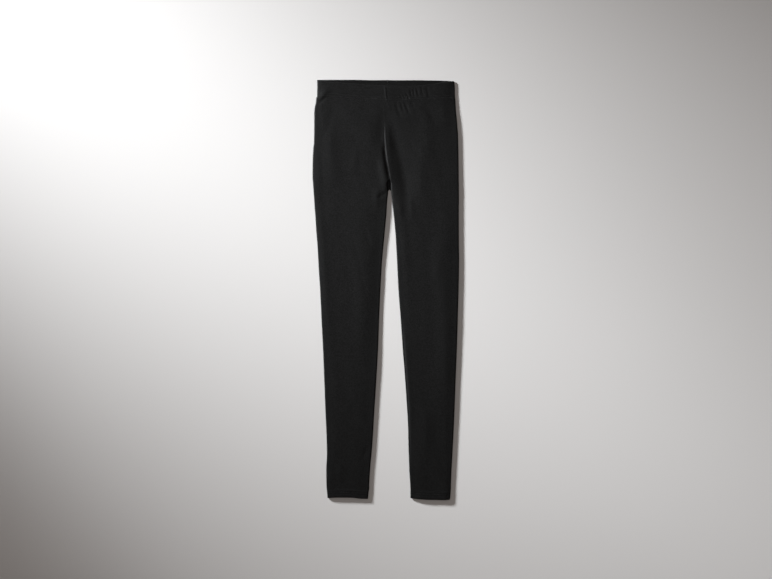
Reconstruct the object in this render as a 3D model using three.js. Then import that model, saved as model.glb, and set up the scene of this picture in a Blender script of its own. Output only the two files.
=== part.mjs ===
// Full-length leggings in plain jersey, laid flat on a surface with the front up.
// Each leg is one cut panel folded round at the outer side. Above the crotch it is open at the centre
// front and centre back, where it meets the other panel, and below the crotch its edges meet at the inseam.
// The waistband is an elastic casing in two halves with seams at the centre front and centre back, and
// each leg ends in a turned-up hem.
// Millimetres. +X is across, with the wearer's left leg on +X, +Y runs up to the waist, +Z is up from the
// surface. Lengths called "down" are measured along -Y from the top edge of the back waistband.

import * as THREE from "three";

// Driving dimensions.
const LENGTH = 986.6; // back waistband edge to the lowest point of the hems
const JERSEY = 2.2; // wall of the leg cloth, so that the front lies on the back
const CASING = 2.3; // wall of the waistband: two layers of jersey over elastic
const HEM_WALL = 2.3; // wall of the hems: jersey turned up on itself
const HEM_DEPTH = 17;
const SEAM_GAP = 0.3; // between two pieces that are sewn together
const LAYER_GAP = 0.3; // least space between the front wall and the back wall
const LEAST_WALL = 1.1; // wall of the front at the bottom of a deep crease
const FOLD_HEIGHT = 2.1; // height of the outermost line of a side fold
const UNDER_ROLL = 3.5; // width over which a side fold rounds under to the surface
const INNER_ROLL = 10; // width over which the front rounds down to an inseam

// Height of the front above the surface, and the width over which it rounds down to the outer side fold.
const PROFILE = [
  { down: 0, height: 5.2, rightRoll: 12, leftRoll: 11 },
  { down: 60, height: 5.0, rightRoll: 14, leftRoll: 12 },
  { down: 160, height: 5.0, rightRoll: 20, leftRoll: 14 },
  { down: 260, height: 5.4, rightRoll: 18, leftRoll: 16 },
  { down: 340, height: 5.6, rightRoll: 15, leftRoll: 22 },
  { down: 440, height: 5.6, rightRoll: 15, leftRoll: 34 },
  { down: 600, height: 5.4, rightRoll: 18, leftRoll: 32 },
  { down: 720, height: 5.3, rightRoll: 22, leftRoll: 24 },
  { down: 850, height: 5.2, rightRoll: 18, leftRoll: 20 },
  { down: 930, height: 5.2, rightRoll: 13, leftRoll: 15 },
  { down: LENGTH, height: 5.2, rightRoll: 11, leftRoll: 12 },
];

// Centre seams: x of the front seam and of the back seam.
const CENTRE = [
  { down: 0, front: -3.6, back: 4.0 },
  { down: 14, front: -2.8, back: 4.3 },
  { down: 32, front: -0.4, back: 4.8 },
  { down: 50, front: 1.6, back: 5.2 },
  { down: 58, front: -1.6, back: 5.4 },
  { down: 72, front: -2.9, back: 5.8 },
  { down: 107, front: -3.1, back: 6.4 },
  { down: 124, front: -3.6, back: 6.8 },
  { down: 147, front: -3.0, back: 7.2 },
  { down: 164, front: -2.2, back: 7.5 },
  { down: 176, front: -0.6, back: 7.8 },
  { down: 189, front: 1.4, back: 8.0 },
  { down: 204, front: 4.4, back: 8.2 },
  { down: 215, front: 6.8, back: 8.4 },
  { down: 225, front: 8.4, back: 8.5 },
  { down: 234, front: 9.4, back: 8.6 },
  { down: 270, front: 9.4, back: 8.8 },
];

const FRONT_SPLIT = 234; // where the two front edges part at the crotch
const BACK_SPLIT = 256; // where the two back edges part, a little lower
const CROTCH = 262; // from here each leg is a closed tube

// Outlines of the legs: x of the outer side fold and of the inner edge, an inseam below the crotch.
const RIGHT_OUTLINE = [
  { down: 38, side: -162.6, inner: 8.2 },
  { down: 56, side: -164.3, inner: 8.2 },
  { down: 70, side: -167.2, inner: 8.2 },
  { down: 112, side: -168.0, inner: 8.2 },
  { down: 154, side: -169.8, inner: 8.2 },
  { down: 196, side: -171.9, inner: 8.2 },
  { down: 226, side: -172.1, inner: 8.2 },
  { down: 234, side: -171.7, inner: 8.2 },
  { down: 239, side: -171.4, inner: 5.2 },
  { down: 248, side: -170.8, inner: 5.1 },
  { down: 262, side: -169.6, inner: 5.3 },
  { down: 281, side: -168.3, inner: 3.5 },
  { down: 316, side: -165.8, inner: 1.2 },
  { down: 352, side: -163.4, inner: -2.1 },
  { down: 422, side: -158.6, inner: -8.7 },
  { down: 493, side: -154.2, inner: -12.7 },
  { down: 563, side: -151.0, inner: -15.8 },
  { down: 634, side: -147.3, inner: -18.4 },
  { down: 704, side: -144.5, inner: -22.3 },
  { down: 775, side: -141.9, inner: -26.8 },
  { down: 845, side: -138.9, inner: -31.0 },
  { down: 880, side: -138.3, inner: -33.8 },
  { down: 916, side: -139.5, inner: -37.0 },
  { down: 951, side: -139.6, inner: -39.1 },
  { down: 966, side: -138.9, inner: -39.2 },
  { down: LENGTH, side: -137.0, inner: -41.8 },
];
const LEFT_OUTLINE = [
  { down: 38, side: 163.0, inner: 10.2 },
  { down: 70, side: 164.7, inner: 10.2 },
  { down: 98, side: 167.3, inner: 10.2 },
  { down: 126, side: 169.5, inner: 10.2 },
  { down: 168, side: 170.5, inner: 10.2 },
  { down: 234, side: 171.4, inner: 10.2 },
  { down: 239, side: 171.5, inner: 11.5 },
  { down: 248, side: 171.5, inner: 11.9 },
  { down: 262, side: 171.6, inner: 12.4 },
  { down: 281, side: 171.6, inner: 14.6 },
  { down: 316, side: 171.5, inner: 18.4 },
  { down: 352, side: 171.5, inner: 22.1 },
  { down: 422, side: 172.1, inner: 26.3 },
  { down: 493, side: 170.9, inner: 29.7 },
  { down: 563, side: 169.0, inner: 35.1 },
  { down: 634, side: 166.8, inner: 40.1 },
  { down: 704, side: 164.0, inner: 45.5 },
  { down: 775, side: 161.4, inner: 50.2 },
  { down: 810, side: 159.9, inner: 52.2 },
  { down: 845, side: 158.2, inner: 53.0 },
  { down: 916, side: 154.4, inner: 55.2 },
  { down: 951, side: 153.0, inner: 57.2 },
  { down: 966, side: 152.6, inner: 57.6 },
  { down: LENGTH, side: 150.8, inner: 58.1 },
];

// Outer side folds of the waistband.
const BAND_SIDES = [
  { down: 0, right: -161.2, left: 160.6 },
  { down: 12, right: -160.8, left: 162.0 },
  { down: 28, right: -161.2, left: 162.1 },
  { down: 52, right: -161.4, left: 163.6 },
];

// Edges of the waistband, as lengths down: the front sags below the back between the sides.
const BAND_EDGES = [
  { x: -162, frontTop: 0.2, frontFoot: 40.2, backTop: 0.2, backFoot: 40.2 },
  { x: -133, frontTop: 4.3, frontFoot: 41.6, backTop: 0.1, backFoot: 40.5 },
  { x: -112, frontTop: 6.2, frontFoot: 43.2, backTop: 0.1, backFoot: 40.8 },
  { x: -74, frontTop: 9.8, frontFoot: 46.4, backTop: 0.1, backFoot: 41.3 },
  { x: -38, frontTop: 11.5, frontFoot: 49.2, backTop: 0.9, backFoot: 41.9 },
  { x: -4, frontTop: 12.3, frontFoot: 50.2, backTop: 0.9, backFoot: 42.4 },
  { x: 12, frontTop: 13.0, frontFoot: 50.4, backTop: 1.0, backFoot: 42.7 },
  { x: 38, frontTop: 14.6, frontFoot: 50.2, backTop: 1.2, backFoot: 43.1 },
  { x: 56, frontTop: 14.1, frontFoot: 49.6, backTop: 1.1, backFoot: 43.4 },
  { x: 73, frontTop: 12.2, frontFoot: 48.9, backTop: 1.0, backFoot: 43.7 },
  { x: 108, frontTop: 8.9, frontFoot: 47.2, backTop: 1.5, backFoot: 44.3 },
  { x: 134, frontTop: 5.4, frontFoot: 46.3, backTop: 1.9, backFoot: 44.8 },
  { x: 162, frontTop: 3.0, frontFoot: 45.4, backTop: 3.0, backFoot: 45.4 },
];
const SAG_FADE = 70; // below the waistband the panel's cross threads straighten over this length

// Hem edges, as lengths down, from one side of each leg to the other.
const HEM_EDGES = [
  { x: -138, down: 982.6 },
  { x: -128, down: 981.4 },
  { x: -112, down: 980.8 },
  { x: -78, down: 981.2 },
  { x: -60, down: 983.2 },
  { x: -41, down: 983.8 },
  { x: 58, down: 980.2 },
  { x: 72, down: 983.4 },
  { x: 92, down: 985.4 },
  { x: 112, down: 986.2 },
  { x: 140, down: 986.6 },
  { x: 151, down: 985.6 },
];

// Gathers of the elastic in the left half of the waistband, and those it makes in the panel below: narrow
// troughs at x, running from top to foot and leaning to +X on the way down.
const BAND_GATHERS = [
  { x: 36, lean: 8, top: 33, foot: 43, half: 2.2, depth: 0.6 },
  { x: 43, lean: 6, top: 34, foot: 44, half: 2.2, depth: 0.6 },
  { x: 52, lean: 7, top: 31, foot: 43, half: 2.3, depth: 0.8 },
  { x: 59.5, lean: 4, top: 20, foot: 40, half: 2.3, depth: 0.9 },
  { x: 66.5, lean: 3, top: 20, foot: 40, half: 2.4, depth: 0.9 },
  { x: 75, lean: 4, top: 17, foot: 41, half: 2.6, depth: 1.0 },
  { x: 85.5, lean: 6, top: 17, foot: 39, half: 2.9, depth: 0.9 },
  { x: 98.5, lean: 6, top: 17, foot: 38, half: 3.2, depth: 0.8 },
];
const PANEL_GATHERS = [
  { x: 14.5, lean: 4, top: 54, foot: 70, half: 3.0, depth: 0.4 },
  { x: 28, lean: 11, top: 53, foot: 86, half: 3.0, depth: 1.0 },
  { x: 38.5, lean: 7, top: 51, foot: 68, half: 2.4, depth: 0.8 },
  { x: 51, lean: 12, top: 51, foot: 80, half: 3.0, depth: 1.2 },
  { x: 61.5, lean: 7, top: 51, foot: 64, half: 2.5, depth: 0.7 },
];

// Soft creases on the front: a path of [x, down] points, half the width, and the height (below 0 a trough).
const CREASES = [
  // Ridge that the seam allowance lifts along the centre front, and the troughs beside it.
  { path: [[-2.4, 10], [0.2, 30], [2.0, 52]], half: 2.6, height: 1.1 },
  { path: [[-2.4, 108], [1.6, 147], [5, 170], [9, 203], [12.8, 234]], half: 2.8, height: 1.2 },
  { path: [[-4.6, 148], [-2.8, 172], [3.2, 206], [8.2, 234]], half: 2.2, height: -1.5 },
  { path: [[1.8, 84], [7.5, 140], [17, 199], [25, 240], [29, 270], [40, 318]], half: 6.5, height: -1.5 },
  { path: [[82, 50], [100, 72], [121, 98]], half: 9, height: -1.0 },
  // Soft folds of the left thigh.
  { path: [[12, 76], [52, 139], [71, 184], [72, 236]], half: 10, height: 0.7 },
  { path: [[41, 104], [64, 152]], half: 6, height: -0.5 },
  { path: [[21, 258], [31, 316], [38, 390]], half: 5, height: 0.5 },
  { path: [[54, 250], [57, 322]], half: 5.5, height: 0.7 },
  { path: [[68, 272], [71, 336]], half: 5, height: -0.4 },
  { path: [[142, 336], [128, 430], [112, 470]], half: 13, height: 0.5 },
  { path: [[74, 636], [78, 686]], half: 6, height: 0.4 },
  { path: [[109, 800], [116, 852]], half: 8, height: -0.5 },
  { path: [[119, 900], [130, 920]], half: 8, height: -0.5 },
  // Right hip and thigh.
  { path: [[-146, 42], [-157, 53]], half: 2.8, height: -1.1 },
  { path: [[-127, 88], [-141, 128]], half: 9, height: -0.5 },
  { path: [[-101, 84], [-66, 116], [-34, 152]], half: 15, height: 0.5 },
  { path: [[-77, 62], [-44, 107]], half: 12, height: -0.5 },
  { path: [[-21, 100], [-23, 154]], half: 6, height: -0.7 },
  { path: [[-84, 186], [-87, 228]], half: 6, height: 0.4 },
  { path: [[-69, 180], [-68, 216]], half: 6, height: -0.35 },
  { path: [[-20, 208], [-4, 240]], half: 9, height: 0.9 },
  { path: [[4, 266], [-8, 276], [-19, 284]], half: 4.5, height: -1.1 },
  { path: [[-26, 262], [-29, 290]], half: 5, height: 0.7 },
  { path: [[-49, 326], [-45, 378]], half: 5, height: -0.35 },
  { path: [[-78, 326], [-75, 404]], half: 7, height: -0.3 },
  { path: [[-48, 868], [-56, 892]], half: 6, height: -0.6 },
  { path: [[-96, 916], [-93, 940]], half: 8, height: -0.5 },
];

// Rows of each piece, as lengths down at the side, and the columns across it.
const PANEL_ROWS = [
  46, 50, 55, 60, 66, 73, 81, 91, 104, 118, 136, 160, 178, 196, 213, 226,
  FRONT_SPLIT, 239, 247, BACK_SPLIT, CROTCH, 270, 281, 298, 322, 352, 386,
  422, 458, 493, 563, 634, 704, 775, 845, 898, 930,
];
const BAND_ROWS = 6;
const HEM_ROWS = 2;
const ROLL_STEPS = 4; // columns on the rounded edge of the front
const UNDER_STEPS = 3; // columns on the rounded edge of the back
const BACK_COLUMNS = 5;

const COLOUR = { jersey: 0x1b1b1c, casing: 0x1a1a1b, hem: 0x19191a };

const clamp = (value, low, high) => Math.min(high, Math.max(low, value));
const mix = (a, b, share) => a + (b - a) * share;
const smooth = (share) => share * share * (3 - 2 * share);

// Value of one column of a table at a place, on a smooth curve through the rows.
function along(table, column, at, key = "down") {
  const last = table.length - 1;
  const t = clamp(at, table[0][key], table[last][key]);
  let i = 0;
  while (i < last - 1 && t > table[i + 1][key]) i += 1;
  const slope = (k) => {
    const low = table[Math.max(k - 1, 0)];
    const high = table[Math.min(k + 1, last)];
    return (high[column] - low[column]) / (high[key] - low[key]);
  };
  const width = table[i + 1][key] - table[i][key];
  const u = (t - table[i][key]) / width;
  const from = table[i][column];
  const to = table[i + 1][column];
  return (
    from * (1 + 2 * u) * (1 - u) ** 2 +
    to * u * u * (3 - 2 * u) +
    slope(i) * width * u * (1 - u) ** 2 -
    slope(i + 1) * width * u * u * (1 - u)
  );
}

// Height of one crease at a point: a bell across its path that fades in and out along it.
function creaseHeight({ path, half, height }, x, down) {
  let near = Infinity;
  let walked = 0;
  let place = 0;
  for (let i = 0; i + 1 < path.length; i += 1) {
    const [x0, d0] = path[i];
    const [dx, dd] = [path[i + 1][0] - x0, path[i + 1][1] - d0];
    const run = Math.hypot(dx, dd);
    const t = clamp(((x - x0) * dx + (down - d0) * dd) / (run * run), 0, 1);
    const off = Math.hypot(x - x0 - t * dx, down - d0 - t * dd);
    if (off < near) {
      near = off;
      place = walked + t * run;
    }
    walked += run;
  }
  const end = Math.min(place, walked - place) / (0.35 * walked);
  return height * Math.exp(-((near / half) ** 2)) * smooth(clamp(0.25 + end, 0, 1));
}

const gatherPath = ({ x, lean, top, foot, half, depth }) => ({
  path: [[x - lean / 2, top], [x + lean / 2, foot]],
  half,
  height: -depth,
});
const FOLDS = [...CREASES, ...BAND_GATHERS.map(gatherPath), ...PANEL_GATHERS.map(gatherPath)];

// Sideways shift of the columns at a place, so that they run along the gathers, which lean.
const LEAN_FADE = 18;
function leanAt(gathers, x, down) {
  const value = (column) => along(gathers, column, x, "x");
  const [top, foot] = [value("top"), value("foot")];
  const outside = Math.max(gathers[0].x - x, x - gathers.at(-1).x, 0);
  const fade = 1 - smooth(clamp(outside / LEAN_FADE, 0, 1));
  return fade * value("lean") * clamp((down - top) / (foot - top) - 0.5, -0.5, 0.5);
}

const relief = (x, down) => FOLDS.reduce((sum, fold) => sum + creaseHeight(fold, x, down), 0);

// Quarter-ellipse rise of a rounded edge: 0 at the edge, 1 once it is a roll's width in.
const rise = (distance, roll) => Math.sqrt(1 - (1 - clamp(distance / roll, 0, 1)) ** 2);

const evenShares = (count) => Array.from({ length: count }, (_, i) => i / count);

// Columns of a section, from the front's inner edge over the front, round the side and back underneath.
// Each has the layer it lies on, the edge it is measured from and a share of that zone.
function columnsOf(frontShares) {
  const arc = (steps, from, to) =>
    Array.from({ length: steps }, (_, i) => 1 - Math.cos((Math.PI / 2) * mix(from, to, i / steps)));
  return [
    ...arc(ROLL_STEPS, 0, 1).map((share) => ({ layer: "front", zone: "inner", share })),
    ...frontShares.map((share) => ({ layer: "front", zone: "flat", share })),
    ...arc(ROLL_STEPS, 1, 0).map((share) => ({ layer: "front", zone: "side", share })),
    ...arc(UNDER_STEPS, 0, 1).map((share) => ({ layer: "back", zone: "side", share })),
    ...evenShares(BACK_COLUMNS).map((share) => ({ layer: "back", zone: "flat", share })),
    ...arc(UNDER_STEPS, 1, 0).map((share) => ({ layer: "back", zone: "inner", share })),
    { layer: "back", zone: "inner", share: 0 },
  ];
}

// Outer and inner point of the wall at one column. The section gives the side fold and the inner edges,
// shut (0 open at the centre seams, 1 closed at an inseam), the height, the wall, the side roll, the length
// down at an x and, where there are gathers, how the columns lean along them.
function wallPoints(section, { layer, zone, share }) {
  const { side, shut, height, wall, down } = section;
  const front = layer === "front";
  const inner = front ? section.frontInner : section.backInner;
  const sideRoll = front ? section.sideRoll : UNDER_ROLL;
  const innerRoll = front ? INNER_ROLL : UNDER_ROLL;
  const width = Math.abs(side - inner);
  const inward = Math.sign(side - inner);
  const flat = mix(innerRoll, width - sideRoll, front ? share : 1 - share);
  const lean = front && zone === "flat" && section.lean ? section.lean(inner + inward * flat) : 0;
  const fromInner = { inner: innerRoll * share, side: width - sideRoll * share, flat: flat + lean }[zone];
  const x = inner + inward * fromInner;
  const sideRise = rise(width - fromInner, sideRoll);
  const innerRise = mix(1, rise(fromInner, innerRoll), shut);

  // The inner skin starts a wall's thickness inside each folded edge.
  const squeeze = (width - wall - wall * shut) / width;
  const innerX = inner + inward * (wall * shut + fromInner * squeeze);
  const place = down(x, layer);
  if (!front) {
    const lift = Math.max(1 - sideRise, shut * (1 - rise(fromInner, innerRoll)));
    const outer = new THREE.Vector3(x, -place, FOLD_HEIGHT * lift);
    return [outer, new THREE.Vector3(innerX, -place, wall + (FOLD_HEIGHT - wall + 0.02) * lift)];
  }
  const full = sideRise * innerRise;
  const top = FOLD_HEIGHT + (height - FOLD_HEIGHT + relief(x, place)) * full;
  const least = FOLD_HEIGHT + (wall + LAYER_GAP - FOLD_HEIGHT) * full;
  const innerZ = Math.max(top - wall * full, least) + 0.02;
  const outerZ = Math.max(top, innerZ - 0.02 + LEAST_WALL * full);
  return [new THREE.Vector3(x, -place, outerZ), new THREE.Vector3(innerX, -place, innerZ)];
}

// Closed wall between the outer and inner skins of a list of rows of [outer, inner] points.
// A row marked tube has its first and last column at the same place. The sign is that of the side fold's x.
function clothWall(rows, sign) {
  const across = rows[0].points.length;
  const corners = [];
  const quad = (a, b, c, d) => {
    if (sign > 0) corners.push(a, b, c, a, c, d);
    else corners.push(a, c, b, a, d, c);
  };
  const at = (row, column, skin) => rows[row].points[column][skin];
  for (let i = 0; i + 1 < rows.length; i += 1) {
    for (let j = 0; j + 1 < across; j += 1) {
      quad(at(i, j, 0), at(i + 1, j, 0), at(i + 1, j + 1, 0), at(i, j + 1, 0));
      quad(at(i, j, 1), at(i, j + 1, 1), at(i + 1, j + 1, 1), at(i + 1, j, 1));
    }
    if (!(rows[i].tube && rows[i + 1].tube)) {
      const end = across - 1;
      quad(at(i, 0, 0), at(i, 0, 1), at(i + 1, 0, 1), at(i + 1, 0, 0));
      quad(at(i, end, 0), at(i + 1, end, 0), at(i + 1, end, 1), at(i, end, 1));
    }
  }
  const foot = rows.length - 1;
  for (let j = 0; j + 1 < across; j += 1) {
    quad(at(0, j, 0), at(0, j + 1, 0), at(0, j + 1, 1), at(0, j, 1));
    quad(at(foot, j, 0), at(foot, j, 1), at(foot, j + 1, 1), at(foot, j + 1, 0));
  }
  const geometry = new THREE.BufferGeometry().setFromPoints(corners);
  geometry.computeVertexNormals();
  return geometry;
}

function piece(name, geometry, color, roughness) {
  const material = new THREE.MeshStandardMaterial({ color, roughness, metalness: 0 });
  const mesh = new THREE.Mesh(geometry, material);
  mesh.name = name;
  return mesh;
}

const RIGHT = { sign: -1, outline: RIGHT_OUTLINE, bandSide: "right", roll: "rightRoll" };
const LEFT = { sign: 1, outline: LEFT_OUTLINE, bandSide: "left", roll: "leftRoll" };

// Length down of a panel row at x: the top row follows the waistband and the rows below straighten.
function panelDown(row, x, layer) {
  const sag = along(BAND_EDGES, `${layer}Foot`, x, "x") + SEAM_GAP - PANEL_ROWS[0];
  const fade = 1 - smooth(clamp((row - PANEL_ROWS[0]) / SAG_FADE, 0, 1));
  return row + sag * fade;
}

// The x of the inner edge on the front and the back: the centre seams above the crotch, the inseam below.
function innerEdges(leg, row) {
  const seam = (leg.sign * SEAM_GAP) / 2;
  const inseam = along(leg.outline, "inner", row);
  const frontInner = row < FRONT_SPLIT ? along(CENTRE, "front", row) + seam : inseam;
  const backSeam = along(CENTRE, "back", row) + seam;
  const parted = smooth(clamp((row - BACK_SPLIT) / (CROTCH - BACK_SPLIT), 0, 1));
  return { frontInner, backInner: mix(backSeam, inseam, parted) };
}

function legPanel(leg, name, frontShares, gathers) {
  const columns = columnsOf(frontShares);
  const hemTop = LENGTH - HEM_DEPTH - SEAM_GAP;
  const rows = [...PANEL_ROWS, hemTop].map((row) => {
    const shut = smooth(clamp((row - FRONT_SPLIT) / (CROTCH - FRONT_SPLIT), 0, 1));
    const section = {
      side: along(leg.outline, "side", row),
      ...innerEdges(leg, row),
      shut,
      height: along(PROFILE, "height", row),
      sideRoll: along(PROFILE, leg.roll, row),
      wall: JERSEY,
      down: (x, layer) => {
        const foot = row === hemTop ? along(HEM_EDGES, "down", x, "x") - LENGTH : 0;
        return panelDown(row, x, layer) + foot;
      },
      lean: gathers && ((x) => leanAt(gathers, x, panelDown(row, x, "front"))),
    };
    return { points: columns.map((column) => wallPoints(section, column)), tube: shut === 1 };
  });
  return piece(name, clothWall(rows, leg.sign), COLOUR.jersey, 0.85);
}

// Half of the waistband: a casing from the centre front round the side to the centre back.
function bandHalf(leg, name, frontShares, gathers) {
  const columns = columnsOf(frontShares);
  const seam = (leg.sign * SEAM_GAP) / 2;
  const rows = [...evenShares(BAND_ROWS), 1].map((share) => {
    const nominal = mix(0, 45, share);
    const down = (x, layer) => {
      const top = along(BAND_EDGES, `${layer}Top`, x, "x");
      return mix(top, along(BAND_EDGES, `${layer}Foot`, x, "x"), share);
    };
    const section = {
      side: along(BAND_SIDES, leg.bandSide, nominal),
      frontInner: along(CENTRE, "front", mix(13, 50, share)) + seam,
      backInner: along(CENTRE, "back", nominal) + seam,
      shut: 0,
      height: along(PROFILE, "height", nominal),
      sideRoll: along(PROFILE, leg.roll, nominal),
      wall: CASING,
      down,
      lean: gathers && ((x) => leanAt(gathers, x, down(x, "front"))),
    };
    return { points: columns.map((column) => wallPoints(section, column)), tube: false };
  });
  return piece(name, clothWall(rows, leg.sign), COLOUR.casing, 0.8);
}

// Turned-up end of a leg: a short closed tube with a double wall.
function hem(leg, name) {
  const columns = columnsOf(evenShares(8));
  const places = [...evenShares(HEM_ROWS), 1].map((share) => LENGTH - HEM_DEPTH * (1 - share));
  const rows = places.map((row) => {
    const inner = along(leg.outline, "inner", row);
    const section = {
      side: along(leg.outline, "side", row),
      frontInner: inner,
      backInner: inner,
      shut: 1,
      height: along(PROFILE, "height", row),
      sideRoll: along(PROFILE, leg.roll, row),
      wall: HEM_WALL,
      down: (x) => row + along(HEM_EDGES, "down", x, "x") - LENGTH,
    };
    return { points: columns.map((column) => wallPoints(section, column)), tube: true };
  });
  return piece(name, clothWall(rows, leg.sign), COLOUR.hem, 0.85);
}

// Shares across the flat of a front: one at each gather's trough and one between each two, with even
// columns after the last. Start and width are those of the flat.
function gatheredShares(gathers, start, width, after) {
  const troughs = gathers.map(({ x }) => (x - start) / width);
  const last = 2 * troughs.at(-1) - troughs.at(-2);
  const between = troughs.map((share, i) => mix(share, troughs[i + 1] ?? last, 0.5));
  const gathered = troughs.flatMap((share, i) => [share, between[i]]);
  const rest = evenShares(after + 1).slice(1);
  return [0, troughs[0] * 0.6, ...gathered, ...rest.map((share) => mix(between.at(-1), 1, share))];
}
const LEFT_PANEL_SHARES = gatheredShares(PANEL_GATHERS, 8.2, 144, 6);
const LEFT_BAND_SHARES = gatheredShares(BAND_GATHERS, 9.7, 141, 3);

const leggings = new THREE.Group();
leggings.add(
  legPanel(RIGHT, "right_leg_panel", evenShares(11)),
  legPanel(LEFT, "left_leg_panel", LEFT_PANEL_SHARES, PANEL_GATHERS),
  bandHalf(RIGHT, "right_waistband", evenShares(8)),
  bandHalf(LEFT, "left_waistband", LEFT_BAND_SHARES, BAND_GATHERS),
  hem(RIGHT, "right_hem"),
  hem(LEFT, "left_hem"),
);

// The frame's origin is on the surface, under the middle of the outline.
const box = new THREE.Box3().setFromObject(leggings);
const middle = box.getCenter(new THREE.Vector3());
leggings.position.set(-middle.x, -middle.y, -box.min.z);

export default leggings;
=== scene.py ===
"""Full-length black jersey leggings laid flat, front up, on a pale surface and seen from straight above.

The cloth is worked out in millimetres. x is across, with the wearer's left leg on +x, and a length "down"
is measured towards the hems from the top edge of the back waistband.
"""

import math
from collections import namedtuple

import bpy
import numpy as np
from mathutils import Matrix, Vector


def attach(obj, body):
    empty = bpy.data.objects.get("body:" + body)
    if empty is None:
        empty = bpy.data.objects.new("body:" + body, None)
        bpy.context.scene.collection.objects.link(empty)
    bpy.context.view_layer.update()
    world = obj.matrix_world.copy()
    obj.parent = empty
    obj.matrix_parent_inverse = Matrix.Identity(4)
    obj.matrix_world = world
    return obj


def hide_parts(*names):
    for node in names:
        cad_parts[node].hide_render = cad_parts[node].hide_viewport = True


bl_info = {
    "name": "Jersey leggings, laid flat",
    "version": (1, 0, 0),
    "blender": (4, 5, 0),
    "location": "View3D > Sidebar > Leggings",
    "description": "Builds the cloth, the stitching and the stage of leggings around their CAD frame",
    "category": "Object",
}

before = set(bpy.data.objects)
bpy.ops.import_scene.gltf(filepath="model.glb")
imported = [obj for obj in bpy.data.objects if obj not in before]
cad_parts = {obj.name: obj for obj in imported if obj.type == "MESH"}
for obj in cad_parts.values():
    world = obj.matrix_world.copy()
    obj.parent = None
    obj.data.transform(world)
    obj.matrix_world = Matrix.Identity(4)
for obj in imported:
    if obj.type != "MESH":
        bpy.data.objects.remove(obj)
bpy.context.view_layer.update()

BODY = "root"

# Sizes that the tables below are measured by, in millimetres.
LENGTH = 986.6
TOP_Y = LENGTH / 2  # y of the top edge of the back waistband
FOLD_HEIGHT = 2.1  # height of the outermost line of a side fold
TIGHT_ROLL = 3.2  # width over which an edge of the front turns down, nearly to its fold
UNDER_ROLL = 3.5  # width over which a side fold rounds under to the surface
SEAM_GAP = 0.06  # between the two edges of a centre seam
LAYER_GAP = 0.3  # least space between the front and a flat back, away from the edges
SKIN_LIFT = 0.02  # the inner fold lines lie this far above the outer ones
FRONT_SPLIT = 234.0  # where the two front edges part at the crotch
BACK_SPLIT = 256.5  # where the two back edges part
CROTCH = 260.5  # from here each leg is a closed tube
BAND_DEPTH = 45.0  # of the waistband, about
BAND_FRONT_TOP = 13.0  # where the front seam crosses the top edge and the foot of the waistband
BAND_FRONT_FOOT = 50.0
PANEL_TOP = 46.0  # the top row of a leg panel, before it follows the foot of the waistband
SAG_FADE = 70.0  # below the waistband the cross threads straighten over this length
LAST_STRAIGHT = 900.0  # from here down the cross threads bend again, towards the hem's edge
HEM_DEPTH = 15.0
HEM_ROUND = 2.0  # the last row stops this far above the outline, because the hem turns round below it

# The front: the share of its height that the tight turn of an edge takes, and the least share of its wall
# at the bottom of a deep fold.
TURN_SHARE = 0.76
LEAST_WALL_SHARE = 0.7

# The back: how high its outer and inner skin may rise, and the share of a trough that the inner one follows.
BACK_HIGHEST = 1.4
BACK_INNER_HIGHEST = 0.9
BACK_INNER_SHARE = 0.8

# Needle holes and seams: half the width of the line that is pulled in, and how deep it lies.
NEEDLE_HALF = 0.9
HEM_DENT = 0.3
CASING_DENT = 0.16
SEAM_HALF = 0.9
SEAM_DIP = 0.12
CROTCH_DIP = 0.6  # added where the seam is pulled towards the crotch, fading in from PULL_FROM
PULL_FROM = 105.0
PULL_FADE = 60.0

# The hem: the step at its top edge, its extra height and wall, and the puff of the cloth just above it.
EDGE_STEP = 1.6
HEM_RISE = 0.25
HEM_EXTRA_WALL = 0.7
PUFF = 0.35
PUFF_ABOVE = 1.5
PUFF_HALF = 2.2
SHUT_LENGTH = 9.0  # length below the split over which the front closes to a tube
INSEAM_FADE = 110.0  # length below the split over which the inseam's fall grows gentle

# The waistband: its small step, the bump of the back seam, and the back's top edge that stands up.
CASING_RISE = 0.1
BUMP_X = 4.0
BUMP_HEIGHT = 0.6
BUMP_HALF = 2.0
CURL_HEIGHT = 1.2
CURL_ROOM = 9.0  # sag of the front at which the back's edge stands up fully
CURL_START = 0.5  # length down from which the curl fades
CURL_REACH = 2.5  # it fades over the front's sag and this much more
CURL_LEAST = 3.0  # and over this at least

# Soft strokes of the folds: their reach and the spacing of their dabs, in half widths, and how they fade at
# the ends.
FOLD_REACH = 2.8
DAB_SPACING = 0.55
FADE_LEAST = 0.2
FADE_SHARE = 0.35

# Meshes: steps round the tight turn of the front and under the side fold, and across the back.
ROLL_STEPS = 8
UNDER_STEPS = 5
LEG_BACK_STEPS = 24
BAND_BACK_STEPS = 40


def table(columns, *rows):
    """A table with named columns, each an array."""
    return dict(zip(columns.split(), np.array(rows, float).T))


# Height of the front, and the width over which it falls gently towards the outer side folds.
PROFILE = table(
    "down height right_roll left_roll",
    (0, 5.2, 12, 11),
    (60, 5.0, 14, 34),
    (160, 5.0, 44, 60),
    (260, 5.4, 44, 55),
    (340, 5.6, 30, 42),
    (440, 5.6, 22, 36),
    (600, 5.4, 26, 32),
    (720, 5.3, 28, 26),
    (850, 5.2, 24, 22),
    (930, 5.2, 13, 15),
    (LENGTH, 5.2, 11, 12),
)

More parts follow.
